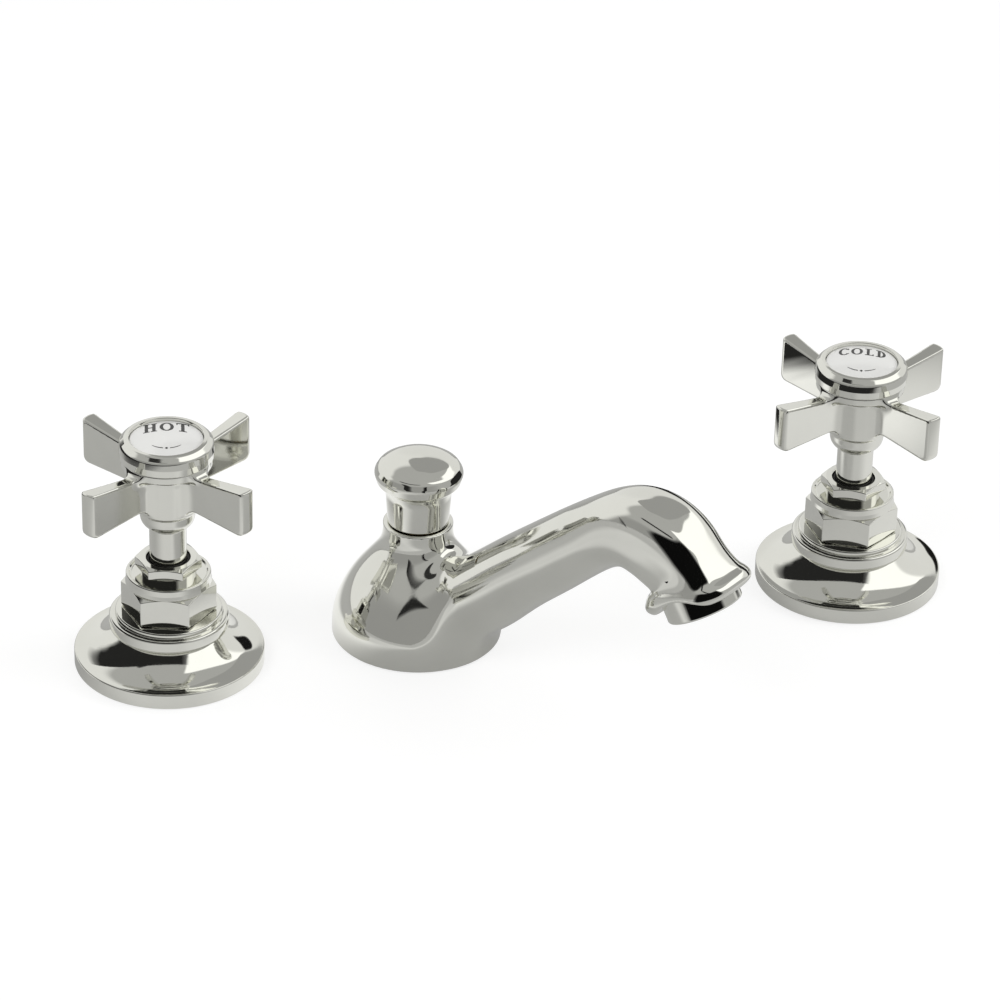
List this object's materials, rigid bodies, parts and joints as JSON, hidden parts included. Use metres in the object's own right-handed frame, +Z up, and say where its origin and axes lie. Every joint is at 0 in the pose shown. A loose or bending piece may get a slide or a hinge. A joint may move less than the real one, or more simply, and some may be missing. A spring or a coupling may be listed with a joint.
{
  "type": "basin mixer tap",
  "caption": "Three-hole basin mixer set: low curved spout with a pop-up lift knob, and hot and cold valves with cross handles on hexagon bonnets over round escutcheons",
  "frame": {"origin": "middle of the spout's seat, on the deck's top face", "axes": "+Z up out of the deck, +X along the line of the three holes from the hot valve to the cold valve, -Y towards the user"},
  "size_m": [0.2976, 0.1368, 0.1872],
  "materials": {
    "polished_nickel": "polished nickel plate on brass",
    "white_porcelain": "glazed white porcelain",
    "machined_brass": "machined brass",
    "black_rubber": "moulded rubber",
    "stainless_steel": "turned stainless steel",
    "white_ceramic": "lapped ceramic",
    "grey_plastic": "moulded plastic"
  },
  "bodies": {
    "root": {"hot_escutcheon": "polished_nickel", "hot_base_seal": "black_rubber", "hot_valve_body": "machined_brass", "hot_deck_gasket": "black_rubber", "hot_thrust_washer": "stainless_steel", "hot_backnut": "machined_brass", "hot_bonnet": "polished_nickel", "hot_gland_nut": "polished_nickel", "hot_cartridge_body": "machined_brass", "hot_seat_seal": "black_rubber", "hot_fixed_disc": "white_ceramic", "cold_escutcheon": "polished_nickel", "cold_base_seal": "black_rubber", "cold_valve_body": "machined_brass", "cold_deck_gasket": "black_rubber", "cold_thrust_washer": "stainless_steel", "cold_backnut": "machined_brass", "cold_bonnet": "polished_nickel", "cold_gland_nut": "polished_nickel", "cold_cartridge_body": "machined_brass", "cold_seat_seal": "black_rubber", "cold_fixed_disc": "white_ceramic", "spout_body": "polished_nickel", "spout_base_seal": "black_rubber", "spout_shank": "machined_brass", "spout_deck_gasket": "black_rubber", "spout_thrust_washer": "stainless_steel", "spout_backnut": "machined_brass", "inlet_tee": "machined_brass", "rod_guide_tube": "machined_brass", "guide_nut": "machined_brass", "aerator_housing": "polished_nickel", "aerator_insert": "grey_plastic", "aerator_seal": "black_rubber"},
    "hot_handle": {"hot_moving_disc": "white_ceramic", "hot_spindle": "machined_brass", "hot_spindle_orings": "black_rubber", "hot_spindle_clip": "stainless_steel", "hot_handle": "polished_nickel", "hot_handle_screw": "stainless_steel", "hot_index_bezel": "polished_nickel", "hot_index_disc": "white_porcelain"},
    "cold_handle": {"cold_moving_disc": "white_ceramic", "cold_spindle": "machined_brass", "cold_spindle_orings": "black_rubber", "cold_spindle_clip": "stainless_steel", "cold_handle": "polished_nickel", "cold_handle_screw": "stainless_steel", "cold_index_bezel": "polished_nickel", "cold_index_disc": "white_porcelain"},
    "lift_knob": {"lift_knob": "polished_nickel", "lift_rod": "stainless_steel"}
  },
  "joints": [
    {"name": "hot_valve_turn", "type": "hinge", "parent": "root", "child": "hot_handle", "pos_m": [-0.083, 0, 0.067], "axis": [0, 0, 1], "range_deg": [0, 90]},
    {"name": "cold_valve_turn", "type": "hinge", "parent": "root", "child": "cold_handle", "pos_m": [0.15, 0, 0.067], "axis": [0, 0, -1], "range_deg": [0, 90]},
    {"name": "knob_lift", "type": "slide", "parent": "root", "child": "lift_knob", "axis": [0, 0, 1], "range_m": [0, 0.022]}
  ]
}
